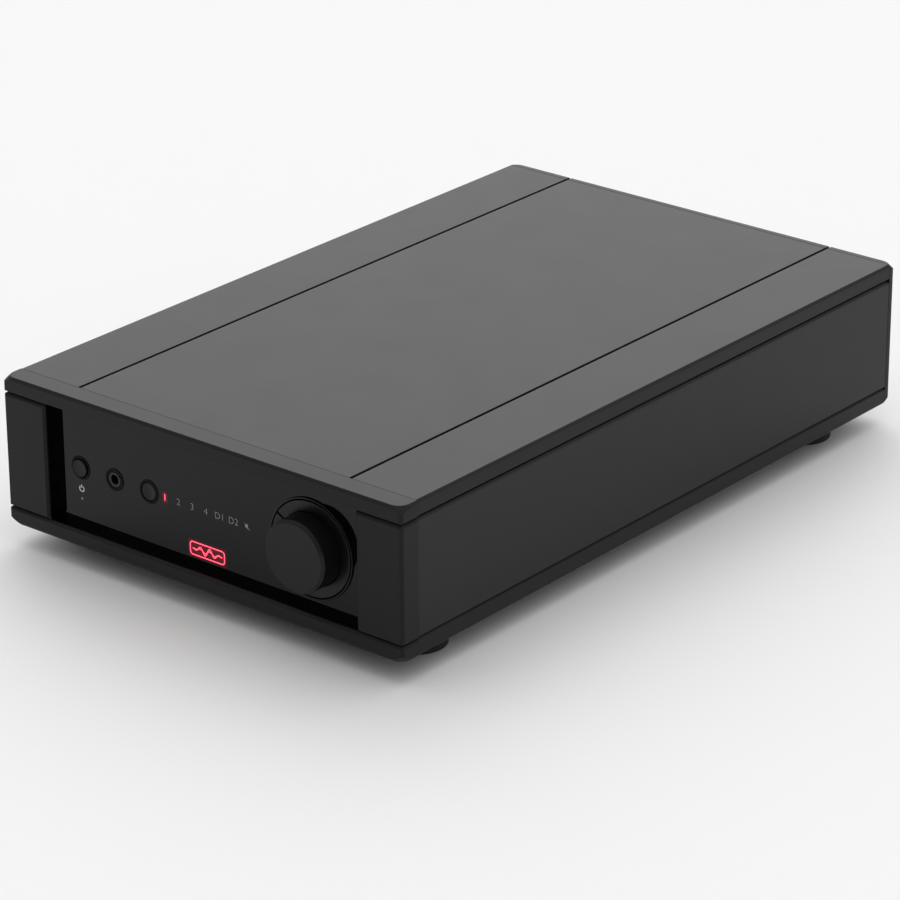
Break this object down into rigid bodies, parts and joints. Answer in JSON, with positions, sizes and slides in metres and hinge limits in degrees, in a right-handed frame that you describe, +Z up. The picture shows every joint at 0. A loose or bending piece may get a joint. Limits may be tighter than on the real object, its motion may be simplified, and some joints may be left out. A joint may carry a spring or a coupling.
{
  "type": "desktop dac",
  "caption": "Compact free-standing audio amplifier with a built-in converter: slim black case, recessed gloss panel, volume knob, push buttons, headphone socket and rear terminals.",
  "frame": {"origin": "centre of the footprint, at the underside of the feet", "axes": "+X to the right seen from the front, +Y to the back, +Z up"},
  "size_m": [0.216, 0.3454, 0.0768],
  "materials": {
    "case": "fine matt black coating",
    "gloss_black": "polished black plastic",
    "knob": "satin black",
    "bezel": "satin black metal",
    "rubber": "matt",
    "steel": "zinc plated",
    "board": "green solder mask",
    "copper_tape": "taped copper winding",
    "alloy": "plain aluminium",
    "gold": "gold plated",
    "black_plastic": "matt moulding",
    "clear": "clear acrylic",
    "rear_paint": "satin black paint"
  },
  "bodies": {
    "chassis": {"front_fascia": "case", "front_panel": "gloss_black", "top_cover": "case", "side_left": "case", "side_right": "case", "base_plate": "case", "rear_frame": "case", "rear_panel": "rear_paint", "knob_ring": "bezel", "volume_pot": "alloy", "pot_nut": "steel", "power_bezel": "bezel", "power_switch": "black_plastic", "source_bezel": "bezel", "source_switch": "black_plastic", "headphone_socket": "bezel", "mark_light_guide": "clear", "source_light_guide": "clear", "power_light_guide": "clear", "front_board": "board", "main_board": "board", "power_transformer": "copper_tape", "transformer_clamp": "steel", "heat_sink": "alloy", "output_device_1": "black_plastic", "output_device_2": "black_plastic", "reservoir_capacitor_1": "black_plastic", "reservoir_capacitor_2": "black_plastic", "mains_inlet": "black_plastic", "line_input_1": "gold", "line_input_2": "gold", "line_input_3": "gold", "line_input_4": "gold", "coaxial_input": "gold", "optical_input": "black_plastic", "ground_post": "gold", "speaker_block_1": "gold", "speaker_block_2": "gold", "foot_1": "rubber", "foot_2": "rubber", "foot_3": "rubber", "foot_4": "rubber", "foot_screw_1": "steel", "foot_screw_2": "steel", "foot_screw_3": "steel", "foot_screw_4": "steel"},
    "volume": {"volume_knob": "knob", "knob_skirt": "knob", "pot_shaft": "steel"},
    "power": {"power_button": "knob"},
    "source": {"source_button": "knob"},
    "fuse": {"fuse_drawer": "black_plastic"},
    "flap": {"optical_flap": "black_plastic"},
    "ground": {"ground_nut": "gold"},
    "cap_1": {"speaker_cap_1": "black_plastic"},
    "cap_2": {"speaker_cap_2": "black_plastic"},
    "cap_3": {"speaker_cap_3": "black_plastic"},
    "cap_4": {"speaker_cap_4": "black_plastic"}
  },
  "joints": [
    {"name": "volume_turn", "type": "hinge", "parent": "chassis", "child": "volume", "pos_m": [0.0566, -0.1617, 0.0433], "axis": [0, 1, 0], "range_deg": [-96, 204]},
    {"name": "power_push", "type": "slide", "parent": "chassis", "child": "power", "axis": [0, 1, 0], "range_m": [0, 0.002], "stiffness_N_per_m": 900, "springref_m": -0.001},
    {"name": "source_push", "type": "slide", "parent": "chassis", "child": "source", "axis": [0, 1, 0], "range_m": [0, 0.0008], "stiffness_N_per_m": 1500, "springref_m": -0.0004},
    {"name": "fuse_slide", "type": "slide", "parent": "chassis", "child": "fuse", "axis": [0, 1, 0], "range_m": [0, 0.014]},
    {"name": "flap_hinge", "type": "hinge", "parent": "chassis", "child": "flap", "pos_m": [0.027, 0.1591, 0.047], "axis": [1, 0, 0], "range_deg": [-84, 0], "stiffness_Nm_per_rad": 0.0002, "springref_deg": 17.19},
    {"name": "ground_screw", "type": "slide", "parent": "chassis", "child": "ground", "axis": [0, 1, 0], "range_m": [0, 0.004]},
    {"name": "cap_1_screw", "type": "slide", "parent": "chassis", "child": "cap_1", "axis": [0, 1, 0], "range_m": [0, 0.004]},
    {"name": "cap_2_screw", "type": "slide", "parent": "chassis", "child": "cap_2", "axis": [0, 1, 0], "range_m": [0, 0.004]},
    {"name": "cap_3_screw", "type": "slide", "parent": "chassis", "child": "cap_3", "axis": [0, 1, 0], "range_m": [0, 0.004]},
    {"name": "cap_4_screw", "type": "slide", "parent": "chassis", "child": "cap_4", "axis": [0, 1, 0], "range_m": [0, 0.004]}
  ]
}
